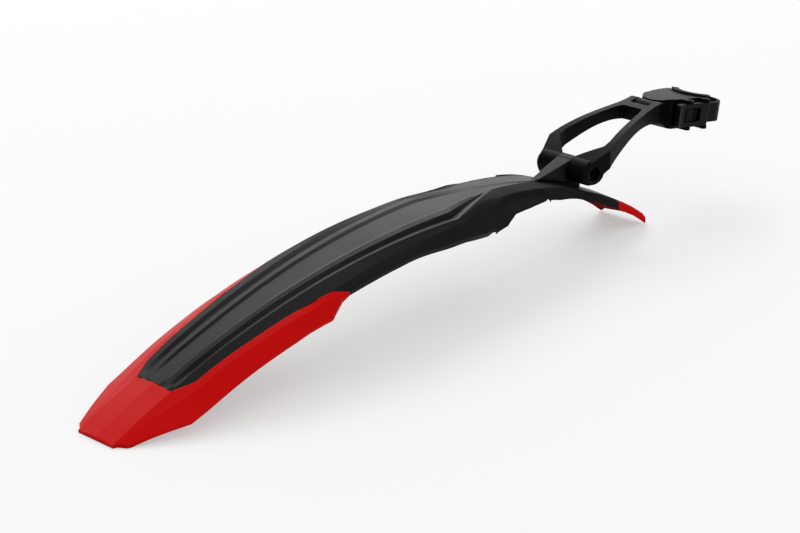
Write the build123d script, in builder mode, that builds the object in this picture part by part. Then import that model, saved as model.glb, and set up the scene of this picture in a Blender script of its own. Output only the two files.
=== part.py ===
from math import cos, radians, sin, sqrt
import os

from build123d import *

# blade, seen from the side
blade_length = 530.0
tail_length = 72.0
crest_height = 70.5
crest_back = 158.0
wall = 2.8
edge_wall = 1.3
tail_extra = 2.2
front_bend = 0.00059
front_dive = 0.00000245

# blade, seen across
tip_half = 16.2
edge_reach = 56.0
ridge_spread = 0.0505
ridge_fall = 0.0001
ridge_fall_x = 150.0
rib_height = 1.0
groove_depth = 1.2
flank_slope = 0.33
collar_half = 5.4
collar_back = 94.0
kink_length = 63.0
recess_step = 3.2
recess_draft = 2.0
recess_wall = 2.0

# coloured ends
flap_end = 48.0
flap_step = 62.5
wing_end = 173.0
band_width = 5.2
band_slope = 0.31
band_fold = 1.8
ramp_start = 162.0
front_flap_length = 35.0

# hinge between the blade and the arm
hinge_drop = 11.0
knuckle_radius = 9.5
knuckle_half = 6.3
knuckle_web = 8.1
gusset_length = 42.0
boss_radius = 9.5
boss_end = 24.3
boss_bevel = 2.8
side_gap = 0.35
pin_gap = 0.06
m6_radius = 3.0
m6_head_radius = 5.0
m6_head_height = 6.0
m6_head_gap = 0.5
m6_nut_flats = 10.0
m6_nut_height = 5.0
m6_seat = 16.5

# arm and its front hinge
arm_length = 95.5
arm_rise = 22.3
arm_bulge = 4.7
arm_leg = 8.0
lug_radius = 8.3
lug_end = 14.6
neck_half = 8.2
neck_radius = 7.8
crossbar_gap = 1.4
m5_radius = 2.5
m5_head_radius = 4.7
m5_head_height = 2.8
m5_head_gap = 0.6
m5_nut_flats = 8.0
m5_nut_height = 2.7
m5_seat = 11.5
nut_gap = 0.15

# clamp, in its own tilted frame
clamp_tilt = 10.0
post_radius = 15.8
post_x = 69.5
horn_end = 58.0
body_top = 10.5
body_bottom = -12.7
body_bevel = 2.1
hood_gap = 0.5
strap_gap = 0.1
pad_thickness = 2.4
pad_half_angle = 60.0
pad_rise = 1.6
pad_lip = 3.2
strap_thickness = 2.2
strap_top = 6.3
strap_bottom = -9.2
strap_end = 17.0
clamp_right = -15.5
clamp_left = 21.2
anchor_x = 47.0
anchor_radius = 3.4
anchor_pin_radius = 1.5
buckle_y = -21.2
lever_pin_x = 50.0
lever_pin_radius = 1.5
pawl_pin_x = 27.0
pawl_pin_radius = 1.2
press_gap = 0.02
ear_half = 3.2
ear_wall = 2.2
lever_inner = -19.7
lever_outer = -23.8
lever_end = 10.0
lever_corner = 2.5
window_x = 30.0
window_length = 21.4
window_height = 11.0
tooth_pitch = 3.5
tooth_count = 7

hinge_x = blade_length - tail_length
hinge_z = crest_height - hinge_drop
crest_x = hinge_x - crest_back
clamp_x = hinge_x + arm_length
clamp_z = hinge_z + arm_rise
kink_end = hinge_x - collar_back
kink_start = kink_end - kink_length
front_flap_x = blade_length - front_flap_length
strap_inner = post_radius + strap_gap
strap_outer = strap_inner + strap_thickness
strap_middle = strap_inner + strap_thickness / 2
pad_outer = strap_inner + pad_thickness
tilt = radians(clamp_tilt)
front_x = clamp_x + (post_x + strap_outer) * cos(tilt) + strap_top * sin(tilt)
home = Location((-front_x / 2, 0, 0))
rear_radius = crest_x**2 / (2 * (crest_height - wall))


# places measured from the hinge
def ahead(keys):
    return [(hinge_x + x, value) for x, value in keys]


# flank slopes at the ridge, before its bend, after its bend and at its outer end
flank_slopes = [
    ahead([(-274, flank_slope), (-157, 0.36), (-140, 0.02), (-38, 0.0), (5, 0.09)]),
    ahead([(-274, 0.36), (-223, 0.40), (-157, 0.72), (-138, 0.48), (-96, 0.12), (-38, 0.0), (5, 0.09)]),
    ahead([(-274, 0.60), (-223, 0.55), (-157, 0.90), (-128, 1.14), (-96, 1.50), (-43, 1.60), (-8, 0.90)]),
    ahead([(-274, 1.40), (-223, 1.20), (-157, 2.50), (-128, 1.30), (-96, 1.50), (-43, 1.60), (-8, 0.90)]),
]
bend_line = ahead([(-157, 33.0), (-128, 28.0), (-94, 24.2), (-58, 23.5), (5, 18.5)])
recess_edge = ahead([(-131, 40.0), (-99.5, 20.6), (-59, 20.0), (-50, 28.5)])
ledge_slope = ahead([(-113, 0.82), (-98, 0.54)])
wing_slope = [(20, 0.42), (82, 0.57), (127, 0.66), (164, 1.02)]


def ease(t):
    t = min(1.0, max(0.0, t))
    return t * t * (3 - 2 * t)


def blend(x, keys):
    value = keys[0][1]
    for (x0, v0), (x1, v1) in zip(keys, keys[1:]):
        value += (v1 - v0) * ease((x - x0) / (x1 - x0))
    return value


def straight(x, keys):
    for (x0, v0), (x1, v1) in zip(keys, keys[1:]):
        if x <= x1:
            return v0 + (v1 - v0) * (x - x0) / (x1 - x0)
    return keys[-1][1]


def mirrored(points):
    return points + [(x, -y) for x, y in reversed(points)]


def spread(first, last, count):
    return [first + (last - first) * i / (count - 1) for i in range(count)]


# height of the blade's centre line
def crest(x):
    u = x - crest_x
    if u < 0:
        return crest_height - u**2 / (2 * rear_radius)
    return crest_height - front_bend * u**2 - front_dive * u**3


# half width and drop of the ridge beside each groove
def ridge(x):
    behind = min(x, kink_start)
    width = tip_half - 0.2 + ridge_spread * max(0.0, behind - flap_end)
    drop = 0.4 + 0.9 * ease(x / flap_end) - 1.55 * ease((x - flap_end) / 44 + 0.1)
    drop += ridge_fall * max(0.0, behind - ridge_fall_x) ** 2
    pull = min(1.0, max(0.0, (x - kink_start) / kink_length))
    collar = collar_half - 4.4 * ease((x - kink_end) / 54)
    collar_drop = 0.35 * ease((x - hinge_x + 38) / 40) - 0.4
    return width + (collar - width) * pull, drop + (collar_drop - drop) * pull


# ridge, bend and outer end of the flank as half width and drop, with the slopes there
def flank(x):
    width, drop = ridge(x)
    bend = blend(x, bend_line)
    slopes = [blend(x, keys) for keys in flank_slopes]
    bend_drop = drop + (slopes[0] + slopes[1]) / 2 * (bend - width)
    end_drop = bend_drop + (slopes[2] + slopes[3]) / 2 * (edge_reach - bend)
    return (width, drop), (bend, bend_drop), (edge_reach, end_drop), slopes


def flank_drop(x, y):
    (width, drop), (bend, bend_drop), end, slopes = flank(x)
    if y < bend:
        u = y - width
        return drop + slopes[0] * u + (slopes[1] - slopes[0]) * u**2 / (2 * (bend - width))
    u = y - bend
    return bend_drop + slopes[2] * u + (slopes[3] - slopes[2]) * u**2 / (2 * (end[0] - bend))


# half width of the line where the coloured flap meets the blade
def flap_line(x):
    if x < flap_step:
        return tip_half + 0.3 + 6.3 * x / flap_step
    return tip_half + 6.6 + 0.079 * (x - flap_step) + 0.000105 * (x - flap_step) ** 2


def depth(x):
    return wall + tail_extra * ease((x - hinge_x + 28) / 60)


# points of a section on one side of the middle, from half widths and drops
def on_side(side, z, points):
    return [(side * y, z - d) for y, d in points]


# straight-sided section from the left half of its outer side
def closed(x, half, deep):
    z = crest(x)
    (edge_y, edge_d), (side_y, side_d) = half[-1], half[-2]
    lean = sqrt(1 + ((edge_d - side_d) / (edge_y - side_y)) ** 2)
    under = [
        (edge_y, edge_d + edge_wall * lean),
        (side_y, side_d + deep),
        (side_y / 2, side_d / 3 + 1.05 * deep),
    ]
    outer = on_side(-1, z, reversed(half[1:])) + on_side(1, z, half)
    inner = on_side(1, z, under) + on_side(-1, z, reversed(under))
    with BuildSketch(Plane.YZ.offset(x)) as face:
        with BuildLine():
            Polyline(*outer, *inner, close=True)
        make_face()
    return face.sketch


# section with ribs and grooves on top and curved flanks
def black_section(x, ribbed=True):
    start, bend, end, slopes = flank(x)
    width, drop = start
    relief = 0.02 + 0.98 * (ease((x - flap_end) / 25) - ease((x - kink_start) / kink_length))
    groove = groove_depth - 0.6 * ease((x - hinge_x + 258) / 100)
    rib_inner = 0.45 + 0.06 * ease((x - 80) / 120)
    rib_outer = 0.65 + 0.045 * ease((x - 130) / 100)
    panel = rib_inner - 0.135
    top = [(panel * width, 0)]
    if ribbed:
        marks = [(rib_inner, -rib_height), (rib_outer, -0.55 * rib_height), (0.82, drop + groove)]
        for share, level in marks:
            plain = drop * (share - panel) / (1 - panel)
            top.append((share * width, plain + (level - plain) * relief))
    top.append(start)
    under_end = (end[0], end[1] + edge_wall * sqrt(1 + slopes[3] ** 2))
    under = [
        (bend[0], bend[1] + depth(x)),
        (0.82 * width, drop + groove * relief + depth(x)),
        (panel * width, 1.05 * depth(x)),
    ]
    near = (width + bend[0]) / 2
    far = (bend[0] + end[0]) / 2
    near_pull = (near, drop + slopes[0] * (near - width))
    far_pull = (far, bend[1] + slopes[2] * (far - bend[0]))
    under_pull = (far, far_pull[1] + (depth(x) + under_end[1] - end[1]) / 2)
    z = crest(x)
    with BuildSketch(Plane.YZ.offset(x)) as face:
        with BuildLine():
            Polyline(*on_side(-1, z, reversed(top)), *on_side(1, z, top))
            Bezier(*on_side(1, z, [start, near_pull, bend]))
            Bezier(*on_side(1, z, [bend, far_pull, end]))
            Line(*on_side(1, z, [end, under_end]))
            Bezier(*on_side(1, z, [under_end, under_pull, under[0]]))
            Polyline(*on_side(1, z, under), *on_side(-1, z, reversed(under)))
            Bezier(*on_side(-1, z, [under[0], under_pull, under_end]))
            Line(*on_side(-1, z, [under_end, end]))
            Bezier(*on_side(-1, z, [end, far_pull, bend]))
            Bezier(*on_side(-1, z, [bend, near_pull, start]))
        make_face()
    return face.sketch


def recess_section(x):
    rim = straight(x, recess_edge)
    rim_drop = flank_drop(x, rim)
    foot = (rim + recess_draft, rim_drop + recess_step)
    reach_drop = foot[1] + (edge_reach - foot[0]) * blend(x, ledge_slope)
    return closed(x, [(0, -4), (rim, rim_drop), foot, (edge_reach, reach_drop)], recess_wall)


def flap_section(x, ramp=0.0):
    width, drop = ridge(x)
    line = flap_line(x) - 0.5 * ease(x / flap_step)
    line_drop = drop + (line - width) * flank_slope
    band = line + 0.3 + band_width * ease(x / flap_step)
    band_drop = line_drop + band_slope * (band - line)
    fold = band_fold * ease((x - ramp_start + 17) / 35)
    band -= fold
    band_drop += 0.72 * fold
    lower = blend(x, wing_slope)
    lower += (0.62 - lower) * ramp
    half = [
        (0, 0),
        (width, drop),
        (line, line_drop),
        (band, band_drop),
        (edge_reach, band_drop + (edge_reach - band) * lower),
    ]
    return closed(x, half, wall)


# plan outline of the whole blade
rear_edge = [
    (0, tip_half),
    (3, tip_half + 1.2),
    (6, 22.5),
    (43.7, 39),
    (60, 40),
    (104, 42),
    (130, 43.5),
    (163, 43.7),
    (176, 39.5),
    (184, 38.6),
    (230, 39.9),
]
front_edge = ahead([
    (-158, 40.2),
    (-137.4, 39.4),
    (-131, 38),
    (-113.3, 37.3),
    (-98.7, 32.3),
    (-81, 30.5),
    (-55.2, 26.5),
    (-41, 26.2),
    (-28, 24.8),
    (5, 22),
    (34, 21.4),
])
with BuildSketch() as outline:
    with BuildLine():
        Polyline(*mirrored(rear_edge + front_edge + [(blade_length, 21.4)]), close=True)
    make_face()

# plan outline of the black moulding
seam = spread(flap_step, wing_end, 5)
with BuildSketch() as black_zone:
    for side in (1, -1):
        with BuildLine():
            line = Spline([(x, side * flap_line(x)) for x in seam])
            Polyline(
                line @ 1,
                (wing_end + 11, side * 38.8),
                (wing_end + 21, side * edge_reach),
                (front_flap_x, side * edge_reach),
                (front_flap_x, 0),
                (flap_end, 0),
                (flap_end, side * ridge(flap_end)[0]),
                line @ 0,
            )
        make_face()

# sunk panels beside the hinge
recess_rear, recess_corner, recess_front, recess_tip = [x for x, y in recess_edge]
with BuildSketch() as recess_zone:
    with BuildLine():
        Polyline(*recess_edge, (recess_tip, edge_reach), (recess_rear, edge_reach), close=True)
    make_face()
    mirror(about=Plane.XZ)

rear_faces = [black_section(x) for x in spread(flap_end - 12, kink_start, 15)]
kink_faces = [black_section(x) for x in spread(kink_start, kink_end, 5)]
front_faces = [black_section(x, ribbed=False) for x in spread(kink_end, blade_length + 4, 12)]
with BuildPart() as shell:
    loft(rear_faces)
    loft(kink_faces)
    loft(front_faces)
    extrude(outline.sketch, amount=2 * crest_height, mode=Mode.INTERSECT)

flap_faces = [flap_section(x) for x in spread(-4, ramp_start, 9)]
ramp_faces = [flap_section(ramp_start), flap_section(wing_end + 13, 1.0)]
with BuildPart() as rear_flap:
    loft(flap_faces)
    loft(ramp_faces, ruled=True)
    extrude(outline.sketch, amount=2 * crest_height, mode=Mode.INTERSECT)
    extrude(black_zone.sketch, amount=2 * crest_height, mode=Mode.SUBTRACT)

with BuildPart() as front_flap:
    add(shell.part)
    with Locations((front_flap_x - blade_length, 0, 0)):
        Box(2 * blade_length, 4 * edge_reach, 4 * crest_height, mode=Mode.SUBTRACT)

recess_stations = spread(recess_rear, recess_corner, 4)[:-1] + spread(recess_corner, recess_front, 4)[:-1]
recess_stations += spread(recess_front, recess_tip, 4)
with BuildPart() as sunk_panels:
    loft([recess_section(x) for x in recess_stations], ruled=True)
    extrude(outline.sketch, amount=2 * crest_height, mode=Mode.INTERSECT)
    extrude(recess_zone.sketch, amount=2 * crest_height, mode=Mode.INTERSECT)

gusset_start = hinge_x - gusset_length
with BuildPart() as blade:
    add(shell.part)
    extrude(black_zone.sketch, amount=2 * crest_height, mode=Mode.INTERSECT)
    extrude(recess_zone.sketch, amount=2 * crest_height, mode=Mode.SUBTRACT)
    add(sunk_panels.part)
    # gusset that carries the knuckle
    with BuildSketch(Plane.YZ.offset(gusset_start)) as gusset_foot:
        with Locations((0, crest(gusset_start) - 0.6)):
            Rectangle(4.6, 2.0)
    with BuildSketch(Plane.YZ.offset(hinge_x - 5)) as gusset_head:
        with Locations((0, (crest(hinge_x) + hinge_z + knuckle_web) / 2)):
            Rectangle(2 * knuckle_half, hinge_z + knuckle_web - crest(hinge_x))
    loft(ruled=True)
    with BuildSketch(Plane.XZ.offset(-knuckle_half)):
        with Locations((hinge_x, hinge_z)):
            Circle(knuckle_radius)
        with BuildLine():
            Polyline(
                (hinge_x - 5, hinge_z),
                (hinge_x - 5, crest(hinge_x - 5) - 1.2),
                (hinge_x + 7, crest(hinge_x + 7) - 1.2),
                (hinge_x + 7, hinge_z),
                close=True,
            )
        make_face()
    extrude(amount=2 * knuckle_half)
    with BuildSketch(Plane.XZ):
        with Locations((hinge_x, hinge_z)):
            Circle(m6_radius + pin_gap)
    extrude(amount=2 * knuckle_half, both=True, mode=Mode.SUBTRACT)


# point above the straight line between the two hinges
def along(share, rise):
    return hinge_x + share * arm_length, hinge_z + share * arm_rise + rise


# point inside the boss that hides the end of each leg
def in_boss(angle):
    turn = radians(angle)
    return hinge_x + (boss_radius - 0.8) * cos(turn), hinge_z + (boss_radius - 0.8) * sin(turn)


# forked arm
arm_half = boss_end + 2 * arm_bulge
with BuildSketch(Plane.XZ.offset(-arm_half)) as arm_side:
    with BuildLine():
        rear_end = ThreePointArc(in_boss(-12), in_boss(180), in_boss(138))
        top = Spline(
            rear_end @ 1,
            along(0.017, 9.8),
            along(0.147, 12.9),
            along(0.393, 14.5),
            along(0.702, 12.0),
            (clamp_x, clamp_z + lug_radius),
        )
        nose = ThreePointArc(
            top @ 1,
            (clamp_x + lug_radius, clamp_z),
            (clamp_x - 0.24 * lug_radius, clamp_z - 0.97 * lug_radius),
        )
        Spline(
            nose @ 1,
            along(0.775, 0.6),
            along(0.55, 4.1),
            along(0.325, 2.7),
            along(0.2, 0.6),
            rear_end @ 0,
        )
    make_face()

arm_edge = [
    (hinge_x - 18, boss_end - 4.8),
    (hinge_x - 8, boss_end - 2.1),
    (hinge_x, boss_end - 0.4),
    (hinge_x + 13.5, boss_end + arm_bulge),
    (clamp_x - 15.5, lug_end + 0.8),
    (clamp_x - 7.5, lug_end),
    (clamp_x + 2 * lug_radius, lug_end),
]
window_edge = [
    (hinge_x + 1.6, knuckle_half + side_gap),
    (hinge_x + 16, boss_end + arm_bulge - arm_leg),
    (hinge_x + 23, boss_end + arm_bulge - arm_leg + 0.2),
    (clamp_x - 25.5, lug_end - 2.6),
    (clamp_x - 17.5, lug_end - 5.6),
]
crossbar_front = clamp_x - neck_radius - crossbar_gap
with BuildPart() as arm:
    extrude(arm_side.sketch, amount=2 * arm_half)
    with BuildSketch():
        with BuildLine():
            Polyline(*mirrored(arm_edge), close=True)
        make_face()
    extrude(amount=2 * crest_height, mode=Mode.INTERSECT)
    with BuildSketch():
        with BuildLine():
            Polyline(*mirrored(window_edge), close=True)
        window = make_face()
        fillet(window.vertices().sort_by(Axis.X)[2:], 2.5)
    extrude(amount=2 * crest_height, mode=Mode.SUBTRACT)
    with Locations((hinge_x - 2, 0, hinge_z)):
        Box(2 * (knuckle_radius + 8.5), 2 * (knuckle_half + side_gap), crest_height, mode=Mode.SUBTRACT)
    for side in (1, -1):
        boss_start = side * (knuckle_half + side_gap)
        with BuildSketch(Plane.XZ.offset(-boss_start)):
            with Locations((hinge_x, hinge_z)):
                Circle(boss_radius)
        extrude(amount=-side * (boss_end - boss_bevel - knuckle_half - side_gap))
        with Locations((hinge_x, side * (boss_end - boss_bevel / 2), hinge_z)):
            Cone(boss_radius, boss_radius - boss_bevel, boss_bevel, rotation=(-90 * side, 0, 0))
    with Locations((crossbar_front + 2 * lug_radius, 0, clamp_z)):
        Box(4 * lug_radius, 2 * (neck_half + side_gap), crest_height, mode=Mode.SUBTRACT)
    # bolt holes, head seats and nut seats
    with BuildSketch(Plane.XZ):
        with Locations((hinge_x, hinge_z)):
            Circle(m6_radius + pin_gap)
        with Locations((clamp_x, clamp_z)):
            Circle(m5_radius + pin_gap)
    extrude(amount=2 * arm_half, both=True, mode=Mode.SUBTRACT)
    with BuildSketch(Plane.XZ.offset(m6_seat)):
        with Locations((hinge_x, hinge_z)):
            Circle(m6_head_radius + m6_head_gap)
    extrude(amount=arm_half, mode=Mode.SUBTRACT)
    with BuildSketch(Plane.XZ.offset(-m6_seat)):
        with Locations((hinge_x, hinge_z)):
            RegularPolygon(m6_nut_flats / 2 + nut_gap, 6, major_radius=False)
    extrude(amount=-arm_half, mode=Mode.SUBTRACT)
    with BuildSketch(Plane.XZ.offset(m5_seat)):
        with Locations((clamp_x, clamp_z)):
            Circle(m5_head_radius + m5_head_gap)
    extrude(amount=arm_half, mode=Mode.SUBTRACT)
    with BuildSketch(Plane.XZ.offset(-m5_seat)):
        with Locations((clamp_x, clamp_z)):
            RegularPolygon(m5_nut_flats / 2 + nut_gap, 6, major_radius=False)
    extrude(amount=-arm_half, mode=Mode.SUBTRACT)


# socket-head bolt across the mudguard, head on the right
def bolt(x, z, radius, head_radius, head_height, seat, length, socket):
    with BuildPart() as piece:
        with BuildSketch(Plane.XZ.offset(seat)):
            with Locations((x, z)):
                Circle(radius)
        extrude(amount=-length)
        with BuildSketch(Plane.XZ.offset(seat)):
            with Locations((x, z)):
                Circle(head_radius)
        extrude(amount=head_height)
        with BuildSketch(Plane.XZ.offset(seat + head_height)):
            with Locations((x, z)):
                RegularPolygon(socket / 2, 6, major_radius=False)
        extrude(amount=-head_height / 2, mode=Mode.SUBTRACT)
    return piece


# hexagon nut on the left end of a bolt
def nut(x, z, radius, flats, height, seat):
    with BuildPart() as piece:
        with BuildSketch(Plane.XZ.offset(-seat)):
            with Locations((x, z)):
                RegularPolygon(flats / 2, 6, major_radius=False)
                Circle(radius + 0.03, mode=Mode.SUBTRACT)
        extrude(amount=-height)
    return piece


rear_bolt = bolt(hinge_x, hinge_z, m6_radius, m6_head_radius, m6_head_height, m6_seat, 2 * m6_seat + 6, 5)
rear_nut = nut(hinge_x, hinge_z, m6_radius, m6_nut_flats, m6_nut_height, m6_seat)
front_bolt = bolt(clamp_x, clamp_z, m5_radius, m5_head_radius, m5_head_height, m5_seat, 2 * m5_seat + 3, 3)
front_nut = nut(clamp_x, clamp_z, m5_radius, m5_nut_flats, m5_nut_height, m5_seat)

# clamp head, drawn level in the frame of the front hinge
deck = Plane((clamp_x, 0, clamp_z), x_dir=(cos(tilt), 0, -sin(tilt)), z_dir=(sin(tilt), 0, cos(tilt)))
hinge_side = Plane(deck.origin, x_dir=deck.x_dir, z_dir=(0, -1, 0))

with BuildPart() as clamp_body:
    with BuildSketch(deck.offset(body_bottom)):
        with BuildLine():
            back = ThreePointArc((12, 12.6), (3, 0), (12, -12.6))
            Polyline(
                back @ 1,
                (14.5, clamp_right),
                (horn_end, clamp_right),
                (horn_end, clamp_left),
                (horn_end - 7, clamp_left),
                (34, clamp_left - 2.6),
                back @ 0,
            )
        make_face()
        with Locations((post_x, 0)):
            Circle(pad_outer + strap_gap, mode=Mode.SUBTRACT)
    extrude(amount=body_top - body_bottom)
    with BuildSketch(hinge_side):
        with BuildLine():
            Polyline((0, -7), (4, -7), (13, body_bottom), (13, -30), (0, -30), close=True)
        make_face()
        with BuildLine():
            Polyline(
                (2, body_top - body_bevel),
                (14, body_top),
                (14, body_top + 5),
                (2, body_top + 5),
                close=True,
            )
        make_face()
    extrude(amount=40, both=True, mode=Mode.SUBTRACT)
    for side in (1, -1):
        with BuildSketch(hinge_side.offset(side * neck_half)):
            Circle(lug_radius + hood_gap)
        extrude(amount=side * 30, mode=Mode.SUBTRACT)
    with BuildSketch(hinge_side.offset(-neck_half)):
        Circle(neck_radius)
        with BuildLine():
            Polyline((0, -6.5), (9, -6.5), (9, 7.7), (0, 7.7), close=True)
        make_face()
    extrude(amount=2 * neck_half)
    with BuildSketch(hinge_side):
        Circle(m5_radius + pin_gap)
    extrude(amount=20, both=True, mode=Mode.SUBTRACT)
    # ears for the two buckle pins
    for level in (body_bottom, body_top - ear_wall):
        for x in (lever_pin_x, pawl_pin_x):
            with BuildSketch(deck.offset(level)):
                with Locations((x, (clamp_right + buckle_y) / 2)):
                    Rectangle(2 * ear_half, clamp_right - buckle_y)
                with Locations((x, buckle_y)):
                    Circle(ear_half)
            extrude(amount=ear_wall)
    with BuildSketch(deck):
        with Locations((lever_pin_x, buckle_y)):
            Circle(lever_pin_radius + press_gap)
        with Locations((pawl_pin_x, buckle_y)):
            Circle(pawl_pin_radius + press_gap)
        with Locations((anchor_x, strap_middle)):
            Circle(anchor_pin_radius + press_gap)
    extrude(amount=40, both=True, mode=Mode.SUBTRACT)
    # slot that holds the fixed end of the strap
    with BuildSketch(deck.offset(strap_bottom - 0.3)):
        with Locations((anchor_x, strap_middle)):
            Circle(anchor_radius + 0.4)
        with Locations((anchor_x + 7, strap_middle)):
            Rectangle(14, strap_thickness + 0.6)
    extrude(amount=strap_top - strap_bottom + 0.6, mode=Mode.SUBTRACT)

reach = 2 * (pad_outer + pad_lip)
with BuildPart() as saddle_pad:
    with BuildSketch(deck.offset(body_bottom)):
        with Locations((post_x, 0)):
            Circle(pad_outer)
            Circle(strap_inner, mode=Mode.SUBTRACT)
    extrude(amount=body_top + pad_rise - body_bottom)
    with BuildSketch(deck.offset(body_top + 0.1)):
        with Locations((post_x, 0)):
            Circle(pad_outer + pad_lip)
            Circle(strap_inner, mode=Mode.SUBTRACT)
    extrude(amount=pad_rise - 0.1)
    with BuildSketch(deck.offset(2 * body_bottom)):
        with BuildLine():
            Polyline(
                (post_x, 0),
                (post_x - reach * cos(radians(pad_half_angle)), reach * sin(radians(pad_half_angle))),
                (post_x - 2 * reach, 0),
                (post_x - reach * cos(radians(pad_half_angle)), -reach * sin(radians(pad_half_angle))),
                close=True,
            )
        make_face()
    extrude(amount=2 * reach, mode=Mode.INTERSECT)

with BuildPart() as strap:
    with BuildSketch(deck.offset(strap_bottom)):
        with Locations((post_x, 0)):
            Circle(strap_outer)
        with Locations((post_x - reach, 0)):
            Rectangle(2 * reach, 4 * reach, mode=Mode.SUBTRACT)
        with Locations(((strap_end + post_x) / 2, -strap_middle)):
            Rectangle(post_x - strap_end, strap_thickness)
        with Locations(((anchor_x + post_x) / 2, strap_middle)):
            Rectangle(post_x - anchor_x, strap_thickness)
        with Locations((anchor_x, strap_middle)):
            Circle(anchor_radius)
            Circle(anchor_pin_radius + 0.05, mode=Mode.SUBTRACT)
        with Locations((post_x, 0)):
            Circle(strap_inner, mode=Mode.SUBTRACT)
    extrude(amount=strap_top - strap_bottom)
    with BuildSketch(deck.offset(-6)):
        for i in range(tooth_count):
            with BuildLine():
                x = strap_end + 2 + tooth_pitch * i
                Polyline(
                    (x, -strap_outer + 0.2),
                    (x, -strap_outer - 0.3),
                    (x + 1.6, -strap_outer - 0.9),
                    (x + 1.6, -strap_outer + 0.2),
                    close=True,
                )
            make_face()
    extrude(amount=9)


# plain pin across the clamp head
def deck_pin(x, y, radius, low, high):
    with BuildPart() as piece:
        with BuildSketch(deck.offset(low)):
            with Locations((x, y)):
                Circle(radius)
        extrude(amount=high - low)
    return piece


anchor_pin = deck_pin(anchor_x, strap_middle, anchor_pin_radius, body_bottom, body_top)
lever_pin = deck_pin(lever_pin_x, buckle_y, lever_pin_radius, body_bottom - 0.5, body_top + 0.5)
pawl_pin = deck_pin(pawl_pin_x, buckle_y, pawl_pin_radius, body_bottom - 0.5, body_top + 0.5)

lever_low = body_bottom + ear_wall + side_gap
lever_high = body_top - ear_wall - side_gap
with BuildPart() as buckle_lever:
    with BuildSketch(deck.offset(lever_low)):
        with BuildLine():
            Polyline(
                (lever_pin_x, lever_inner),
                (lever_end + 5, lever_inner),
                (lever_end, lever_inner - 1.6),
                (lever_end, lever_outer - 1.4),
                (lever_end + 6, lever_outer),
                (lever_pin_x, lever_outer),
                close=True,
            )
        make_face()
        with Locations((lever_pin_x, buckle_y)):
            Circle(2.7)
    extrude(amount=lever_high - lever_low)
    fillet(buckle_lever.edges().filter_by(Axis.Y), lever_corner)
    with BuildSketch(hinge_side.offset(-lever_inner - 3)):
        with Locations((window_x, -0.7)):
            RectangleRounded(window_length, window_height, 1.5)
    extrude(amount=12, mode=Mode.SUBTRACT)
    with BuildSketch(deck.offset(lever_low - 5)):
        with Locations((pawl_pin_x, lever_inner - 1)):
            Rectangle(3.6, 4.4)
        with Locations((lever_pin_x, buckle_y)):
            Circle(lever_pin_radius + pin_gap)
    extrude(amount=40, mode=Mode.SUBTRACT)

pawl_low = -5.5
pawl_high = 4.1
with BuildPart() as pawl:
    with BuildSketch(deck.offset(pawl_low)):
        with BuildLine():
            Polyline(
                (pawl_pin_x - 4.8, buckle_y + 0.4),
                (pawl_pin_x - 4.8, buckle_y - 1.9),
                (pawl_pin_x + 3, buckle_y - 2.2),
                (pawl_pin_x + 4, buckle_y - 1.2),
                (pawl_pin_x + 5.4, buckle_y - 2.0),
                (pawl_pin_x + 6.4, buckle_y - 0.9),
                (pawl_pin_x + 7.8, buckle_y - 1.7),
                (pawl_pin_x + 8.8, buckle_y - 0.6),
                (pawl_pin_x + 10.2, buckle_y - 1.2),
                (pawl_pin_x + 12.7, buckle_y + 2.6),
                (pawl_pin_x + 12, buckle_y + 2.6),
                (pawl_pin_x + 10.5, buckle_y + 1.5),
                (pawl_pin_x + 9, buckle_y + 1),
                (pawl_pin_x + 2, buckle_y + 1.6),
                close=True,
            )
        make_face()
        with Locations((pawl_pin_x, buckle_y)):
            Circle(2.1)
            Circle(pawl_pin_radius + pin_gap, mode=Mode.SUBTRACT)
    extrude(amount=pawl_high - pawl_low)

os.makedirs("parts", exist_ok=True)


def save(piece, label):
    placed = piece.part.moved(home)
    placed.label = label
    export_step(placed, f"parts/{label}.step")


save(blade, "blade")
save(rear_flap, "rear_flap")
save(front_flap, "front_flap")
save(arm, "arm")
save(rear_bolt, "rear_pivot_bolt")
save(rear_nut, "rear_pivot_nut")
save(front_bolt, "front_pivot_bolt")
save(front_nut, "front_pivot_nut")
save(clamp_body, "clamp_body")
save(saddle_pad, "saddle_pad")
save(strap, "strap")
save(anchor_pin, "strap_anchor_pin")
save(buckle_lever, "buckle_lever")
save(lever_pin, "lever_pin")
save(pawl, "pawl")
save(pawl_pin, "pawl_pin")
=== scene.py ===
import math

import bpy
import numpy as np
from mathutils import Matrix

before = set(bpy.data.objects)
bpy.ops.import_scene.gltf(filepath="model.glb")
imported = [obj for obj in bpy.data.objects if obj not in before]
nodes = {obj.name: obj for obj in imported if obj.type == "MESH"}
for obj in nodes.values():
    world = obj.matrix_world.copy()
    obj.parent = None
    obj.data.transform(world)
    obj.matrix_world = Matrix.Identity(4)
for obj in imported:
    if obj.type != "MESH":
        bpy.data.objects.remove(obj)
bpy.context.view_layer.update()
scene = bpy.context.scene
print("frame loaded:", len(nodes), "nodes")


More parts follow.
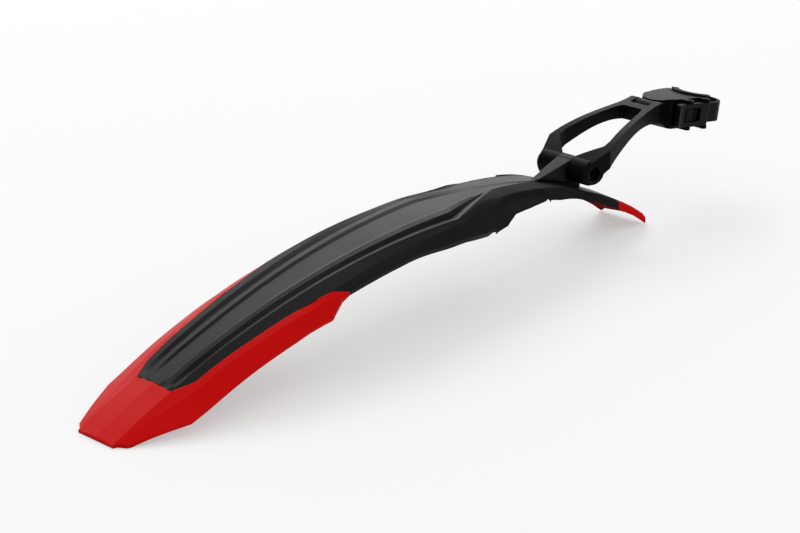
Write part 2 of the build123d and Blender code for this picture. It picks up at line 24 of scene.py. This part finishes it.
class Val:  # a socket that takes part in Python arithmetic
    def __init__(self, finish, socket):
        self.finish = finish
        self.socket = socket

    def math(self, operation, *values, clamp=False):
        return self.finish.node("ShaderNodeMath", dict(operation=operation, use_clamp=clamp), *values)

    def __add__(self, other):
        return self.math("ADD", self, other)

    def __radd__(self, other):
        return self.math("ADD", other, self)

    def __sub__(self, other):
        return self.math("SUBTRACT", self, other)

    def __rsub__(self, other):
        return self.math("SUBTRACT", other, self)

    def __mul__(self, other):
        return self.math("MULTIPLY", self, other)

    def __rmul__(self, other):
        return self.math("MULTIPLY", other, self)

    def __truediv__(self, other):
        return self.math("DIVIDE", self, other)

    def __rtruediv__(self, other):
        return self.math("DIVIDE", other, self)

    def __neg__(self):
        return self * -1.0

    def __abs__(self):
        return self.math("ABSOLUTE", self)

    def sign(self):
        return self.math("SIGN", self)

    def atMost(self, other):
        return self.math("MINIMUM", self, other)

    def atLeast(self, other):
        return self.math("MAXIMUM", self, other)

    def clipped(self):  # kept between 0 and 1
        return self.math("ADD", self, 0.0, clamp=True)

    def between(self, start, end):  # 0 before start, 1 after end
        return ((self - start) / (end - start)).clipped()

    def eased(self):  # 0 to 1 with soft ends
        return self * self * (3.0 - 2.0 * self)

    def swing(self):  # noise about its middle, from -0.5 to 0.5
        return self - 0.5


class Finish:  # the node tree of one material, or of the world
    def __init__(self, owner, outKind="ShaderNodeOutputMaterial"):
        owner.use_nodes = True
        self.owner = owner
        self.tree = owner.node_tree
        self.tree.nodes.clear()
        self.out = self.tree.nodes.new(outKind)

    # settings come first, because they decide which sockets are in use
    def node(self, kind, settings=None, *values, out=0, **sockets):
        made = self.tree.nodes.new(kind)
        for key, value in (settings or {}).items():
            setattr(made, key, value)
        slots = [slot for slot in made.inputs if slot.enabled]
        named = {slot.name.replace(" ", ""): slot for slot in slots}
        for slot, value in zip(slots, values):
            self.feed(slot, value)
        for key, value in sockets.items():
            self.feed(named[key], value)
        shown = [slot for slot in made.outputs if slot.enabled]
        return Val(self, made.outputs[out] if isinstance(out, str) else shown[out])

    def feed(self, slot, value):
        if isinstance(value, Val):
            self.tree.links.new(value.socket, slot)
        else:
            slot.default_value = value

    def objectPoint(self):
        return self.node("ShaderNodeTexCoord", out="Object")

    def normal(self):
        return self.node("ShaderNodeNewGeometry", out="Normal")

    def axes(self, vector):
        split = self.node("ShaderNodeSeparateXYZ", None, vector).socket.node
        return [Val(self, socket) for socket in split.outputs]

    def dot(self, first, second):
        return self.node("ShaderNodeVectorMath", dict(operation="DOT_PRODUCT"), first, second, out="Value")

    def noise(self, point, scale, detail, fade):
        return self.node("ShaderNodeTexNoise", None, Vector=point, Scale=scale, Detail=detail, Roughness=fade)

    def mixColour(self, amount, low, high):
        return self.node("ShaderNodeMix", dict(data_type="RGBA"), amount, low, high)

    def edge(self, look):  # rounded normal, with a mask that is 0 on flat faces and up to 1 on a sharp edge
        soft = self.node("ShaderNodeBevel", dict(samples=look["edgeRays"]), Radius=look["edgeRadius"])
        return soft, ((1.0 - self.dot(soft, self.normal())) * look["edgeGain"]).clipped()

    def hollowOcclusion(self, look):  # 0 in the open, up to 1 in a hollow, from ambient occlusion; it paints shade into hollows and roughens them
        rays = dict(samples=look["cavityRays"])
        openness = self.node("ShaderNodeAmbientOcclusion", rays, Distance=look["cavityReach"], out="AO")
        return ((1.0 - openness) * look["cavity"]).clipped()

    def bump(self, height, strength, depth, normal):
        return self.node(
            "ShaderNodeBump", None, Strength=strength, Distance=depth, Height=height, Normal=normal,
        )

    def rays(self, *kinds):  # 1 for rays of these kinds
        return sum(self.node("ShaderNodeLightPath", out=kind) for kind in kinds).clipped()

    def mixShader(self, amount, first, second):
        return self.node("ShaderNodeMixShader", None, amount, first, second)

    def closeWith(self, shader):
        self.tree.links.new(shader.socket, self.out.inputs["Surface"])
        return self.owner

    def surface(self, **sockets):
        return self.closeWith(self.node("ShaderNodeBsdfPrincipled", None, **sockets))


def newFinish(name):
    return Finish(bpy.data.materials.new(name))


def grey(value):
    return (value, value, value, 1.0)


# moulded plastic: fine spark-erosion grain, slow mottling, paler rubbed edges, and painted shade that darkens
# the hollows
moulded = dict(
    grainDetail=2.0, grainFade=0.6, grainRough=0.1, mottleDetail=4.0, mottleFade=0.5,
    edgeRays=6, edgeGain=4.0, cavityRays=8, ior=1.49,
)


def mouldedPlastic(name, look, relief=None, rims=None):
    f = newFinish(name)
    point = f.objectPoint()
    grain = f.noise(point, look["grainScale"], look["grainDetail"], look["grainFade"])
    mottle = f.noise(point, look["mottleScale"], look["mottleDetail"], look["mottleFade"])
    soft, rubbed = f.edge(look)
    shadeAndRoughInHollows = f.hollowOcclusion(look)
    tone = f.mixColour(mottle, look["dark"], look["light"])
    # painted shade: the tone is darkened where the hollows are occluded
    tone = f.mixColour(shadeAndRoughInHollows, tone, look["cavityTone"])
    colour = f.mixColour(rubbed * look["edgeWear"] * mottle, tone, look["worn"])
    rough = look["roughness"] + shadeAndRoughInHollows * look["cavityRough"]
    rough = rough + mottle.swing() * look["roughSpread"] + grain.swing() * look["grainRough"]
    if "underTone" in look:  # painted shade: darker where a face looks down at the floor
        down = -f.axes(f.normal())[2]
        colour = f.mixColour(down.between(look["underStart"], look["underFull"]), colour, look["underTone"])
    if rims:
        matt = rims(f, point)
        colour = f.mixColour(matt, colour, look["rimTone"])
        rough = (rough + matt * look["rimRough"]).clipped()
    if relief:
        soft = relief(f, point, soft)
    bump = f.bump(grain, look["grainStrength"], look["grainDepth"], soft)
    return f.surface(
        BaseColor=colour, Roughness=rough, Normal=bump, IOR=look["ior"], SpecularIORLevel=look["sheen"],
    )


# the blade's waist, behind the hinge: half widths of ridge and bend along x, and the curve of the centre line
waistLook = dict(
    slope=0.36, growFrom=-0.0200, growTo=0.0000, fadeFrom=0.1150, fadeTo=0.1450, strength=1.0, scale=1.0,
    ridgeWide=0.0288, ridgeNarrow=0.0054, ridgeTip=0.0010,
    kinkStart=-0.0194, kinkEnd=0.0436, ridgeEnd=0.0976,
    bendWide=0.0310, bendNarrow=0.0240, bendFrom=-0.0100, bendTo=0.0500,
    crestX=-0.0204, crestZ=0.0705, crestBend=0.59, crestDive=2.45, gussetFrom=0.0012, gussetTo=0.0022,
)


def waistBend(x):  # half width at which the top of the waist turns down
    look = waistLook
    pull = x.between(look["bendFrom"], look["bendTo"])
    return look["bendWide"] - pull * (look["bendWide"] - look["bendNarrow"])


# the waist falls away like a roof on both sides of the ridge, as far as the bend:
# height = - slope * (half width past the ridge), the slope growing in and fading out along x
def waistRelief(f, point, soft):
    look = waistLook
    x, y, z = f.axes(point)
    pull = x.between(look["kinkStart"], look["kinkEnd"])
    tip = x.between(look["kinkEnd"], look["ridgeEnd"])
    ridge = look["ridgeWide"] - pull * (look["ridgeWide"] - look["ridgeNarrow"])
    ridge = ridge - tip * (look["ridgeNarrow"] - look["ridgeTip"])
    reach = (abs(y).atMost(waistBend(x)) - ridge).atLeast(0.0)
    grow = x.between(look["growFrom"], look["growTo"])
    fade = 1.0 - x.between(look["fadeFrom"], look["fadeTo"])
    u = x - look["crestX"]
    above = z - look["crestZ"] + u * u * (look["crestBend"] + u * look["crestDive"])  # over the centre line
    skin = 1.0 - above.between(look["gussetFrom"], look["gussetTo"])  # not on the gusset
    height = reach * grow * fade * skin * -look["slope"]
    return f.bump(height, look["strength"], look["scale"], soft)


rimLook = dict(
    start=0.08, full=0.20, fade=0.36, end=0.52, rearX=-0.13, frontX=-0.02, rearShare=0.3,
    bandFrom=0.0060, bandFull=0.0040, bandX=0.000, bandFullX=0.020,
)


# rims of the blade: faces between a flat top and a flank, told by how far the normal tips to the face's own
# side, and a band along the bend of the waist
def bladeRims(f, point):
    look = rimLook
    x, y = f.axes(point)[:2]
    tilt = f.axes(f.normal())[1] * y.sign()
    falling = tilt.between(look["start"], look["full"]) * (1.0 - tilt.between(look["fade"], look["end"]))
    share = look["rearShare"] + x.between(look["rearX"], look["frontX"]) * (1.0 - look["rearShare"])
    inset = abs(y) - waistBend(x)
    band = inset.between(-look["bandFrom"], -look["bandFull"]) * x.between(look["bandX"], look["bandFullX"])
    return (falling * share).atLeast(band)


# in each look, the hollow tone is the colour of the painted shade in hollows, and cavity scales how strongly
# hollows are shaded and roughened
bladeLook = dict(
    moulded, dark=(0.0104, 0.0104, 0.0109, 1), light=(0.0142, 0.0142, 0.0147, 1), worn=grey(0.05),
    sheen=0.095, roughness=0.44, roughSpread=0.10, grainScale=2600.0, grainStrength=0.35,
    grainDepth=0.00012, mottleScale=38.0, edgeRadius=0.0005, edgeWear=0.6, rimTone=grey(0.011), rimRough=0.55,
    cavity=2.0, cavityReach=0.005, cavityTone=grey(0.001), cavityRough=0.3,
)
redLook = dict(
    moulded, dark=(0.53, 0.0007, 0.0005, 1), light=(0.58, 0.0011, 0.0009, 1), worn=(0.58, 0.02, 0.02, 1),
    sheen=0.06, roughness=0.4, roughSpread=0.08, grainScale=2200.0, grainStrength=0.25,
    grainDepth=0.0001, mottleScale=30.0, edgeRadius=0.0005, edgeWear=0.4,
    cavity=0.8, cavityReach=0.005, cavityTone=(0.12, 0.0, 0.0, 1), cavityRough=0.2,
)
# the tail's undersides are darkened with painted shade
tailLook = dict(redLook, roughness=0.78, underTone=(0.19, 0.002, 0.002, 1), underStart=0.35, underFull=0.65)
armLook = dict(
    moulded, dark=(0.0026, 0.0026, 0.0029, 1), light=(0.0044, 0.0044, 0.0048, 1), worn=grey(0.03),
    sheen=0.040, roughness=0.40, roughSpread=0.10, grainScale=2400.0, grainStrength=0.4,
    grainDepth=0.00014, mottleScale=55.0, edgeRadius=0.0004, edgeWear=0.6,
    cavity=1.4, cavityReach=0.006, cavityTone=grey(0.0005), cavityRough=0.3,
)
strapLook = dict(
    moulded, dark=(0.004, 0.004, 0.0044, 1), light=(0.007, 0.007, 0.0074, 1), worn=grey(0.03),
    sheen=0.03, roughness=0.42, roughSpread=0.12, grainScale=1500.0, grainStrength=0.2,
    grainDepth=0.0001, mottleScale=80.0, edgeRadius=0.0004, edgeWear=0.4,
    cavity=1.2, cavityReach=0.004, cavityTone=grey(0.0005), cavityRough=0.2,
)
padLook = dict(
    moulded, dark=(0.006, 0.006, 0.006, 1), light=(0.011, 0.011, 0.011, 1), worn=grey(0.04),
    sheen=0.2, roughness=0.70, roughSpread=0.14, grainScale=3200.0, grainStrength=0.5,
    grainDepth=0.00012, mottleScale=90.0, edgeRadius=0.0004, edgeWear=0.4,
    cavity=1.2, cavityReach=0.004, cavityTone=grey(0.0005), cavityRough=0.2,
)


# black-oxide steel: thin dark coat, brighter where the edges are rubbed
def blackSteel(name, look):
    f = newFinish(name)
    smear = f.noise(f.objectPoint(), look["smearScale"], look["smearDetail"], look["smearFade"])
    soft, rubbed = f.edge(look)
    bright = (rubbed * smear * look["edgeWear"]).clipped()
    colour = f.mixColour(bright, look["coat"], look["steel"])
    rough = look["roughness"] + smear.swing() * look["smearRough"]
    bump = f.bump(smear, look["smearStrength"], look["smearDepth"], soft)
    return f.surface(BaseColor=colour, Roughness=rough, Metallic=look["metallic"], Normal=bump)


oxide = dict(
    smearDetail=5.0, smearFade=0.6, smearRough=0.2, smearStrength=0.15, smearDepth=0.00005,
    edgeRays=6, edgeGain=4.0, edgeWear=0.8,
)
boltLook = dict(
    oxide, coat=grey(0.003), steel=grey(0.06), metallic=0.9,
    roughness=0.45, smearScale=420.0, edgeRadius=0.0003,
)
pinLook = dict(
    oxide, coat=grey(0.008), steel=grey(0.05), metallic=0.2,
    roughness=0.55, smearScale=600.0, edgeRadius=0.0002,
)

blackBlade = mouldedPlastic("blackBlade", bladeLook, waistRelief, bladeRims)
redFlap = mouldedPlastic("redFlap", redLook)
redTail = mouldedPlastic("redTail", tailLook)
blackArm = mouldedPlastic("blackArm", armLook)
blackStrap = mouldedPlastic("blackStrap", strapLook)
rubberPad = mouldedPlastic("rubberPad", padLook)
boltSteel = blackSteel("boltSteel", boltLook)
pinSteel = blackSteel("pinSteel", pinLook)

wears = dict(
    blade=blackBlade, rear_flap=redFlap, front_flap=redTail, arm=blackArm, clamp_body=blackArm,
    buckle_lever=blackArm, pawl=blackArm, saddle_pad=rubberPad, strap=blackStrap,
    rear_pivot_bolt=boltSteel, rear_pivot_nut=boltSteel,
    front_pivot_bolt=boltSteel, front_pivot_nut=boltSteel,
    strap_anchor_pin=pinSteel, lever_pin=pinSteel, pawl_pin=pinSteel,
)
for nodeName, finish in wears.items():
    data = nodes[nodeName].data
    data.materials.clear()
    data.materials.append(finish)
print("finishes on", len(wears), "nodes")

# studio: pale floor that keeps the shadow, and an even dome for matt faces; gloss sees a dim ceiling
# with a bright side at the far left and a weaker one behind the camera
studio = dict(
    floorColour=grey(0.885), floorLift=0.42, floorSize=30.0,
    domeLight=0.775, ceiling=0.04, glowAxis=(0.478, 0.796, 0.372), glowStart=0.58, glowFull=0.92,
    backGlow=0.70, backAxis=(-0.30, -0.80, 0.52), backStart=0.74, backFull=0.96,
)
lamps = dict(
    key=dict(power=162.0, size=4.8, place=(4.35, 4.86, 3.36), aim=(0.0, 0.0, 0.03)),
    top=dict(power=120.6, size=4.2, place=(0.90, 4.80, 5.25), aim=(0.0, 0.0, 0.03)),
)


def makeFloor(look):
    f = newFinish("paleFloor")
    seen = f.rays("Is Camera Ray", "Is Glossy Ray", "Is Transmission Ray")
    paint = f.node("ShaderNodeBsdfDiffuse", None, Color=look["floorColour"])
    white = f.node("ShaderNodeEmission", None, Color=grey(1.0), Strength=1.0)
    f.closeWith(f.mixShader(seen * look["floorLift"], paint, white))
    mesh = bpy.data.meshes.new("floor")
    corners = np.array([(-1, -1, 0), (1, -1, 0), (1, 1, 0), (-1, 1, 0)]) * look["floorSize"] / 2
    mesh.from_pydata(corners.tolist(), [], [(0, 1, 2, 3)])
    mesh.materials.append(f.owner)
    floor = bpy.data.objects.new("floor", mesh)
    scene.collection.objects.link(floor)


def makeSky(look):
    scene.world = bpy.data.worlds.new("studioSky")
    f = Finish(scene.world, "ShaderNodeOutputWorld")
    towards = f.node("ShaderNodeTexCoord", out="Generated")
    farLeft = f.dot(towards, look["glowAxis"]).between(look["glowStart"], look["glowFull"]).eased()
    behind = f.dot(towards, look["backAxis"]).between(look["backStart"], look["backFull"]) * look["backGlow"]
    dome, dim, white = [
        f.node("ShaderNodeBackground", None, Color=grey(1.0), Strength=strength)
        for strength in (look["domeLight"], look["ceiling"], 1.0)
    ]
    mirrored = f.mixShader(farLeft + behind, dim, white)
    f.closeWith(f.mixShader(f.rays("Is Glossy Ray", "Is Transmission Ray"), dome, mirrored))
    scene.world.cycles.sampling_method = "NONE"  # sampling the sky as a lamp would blend dome and gloss


def makeLamp(name, look):
    data = bpy.data.lights.new(name, "AREA")
    data.energy = look["power"]
    data.size = look["size"]
    lamp = bpy.data.objects.new(name, data)
    lamp.location = look["place"]
    x, y, z = np.array(look["aim"]) - np.array(look["place"])
    lamp.rotation_euler = (math.atan2(math.hypot(x, y), -z), 0, math.atan2(y, x) - math.pi / 2)
    scene.collection.objects.link(lamp)


makeFloor(studio)
makeSky(studio)
for lampName, lampLook in lamps.items():
    makeLamp(lampName, lampLook)
scene.view_settings.view_transform = "Standard"
print("studio lit")

# camera solved from the photograph: long lens, 22 degrees down
shot = dict(place=(-1.040939, -0.9164, 0.5742), pitch=21.792, heading=-47.320, lens=94.824, sensor=36.0)
lensData = bpy.data.cameras.new("shot")
lensData.sensor_fit = "HORIZONTAL"
lensData.sensor_width = shot["sensor"]
lensData.lens = shot["lens"]
camera = bpy.data.objects.new("shot", lensData)
camera.location = shot["place"]
camera.rotation_euler = (math.radians(90 - shot["pitch"]), 0, math.radians(shot["heading"]))
scene.collection.objects.link(camera)
scene.camera = camera
print("camera set")
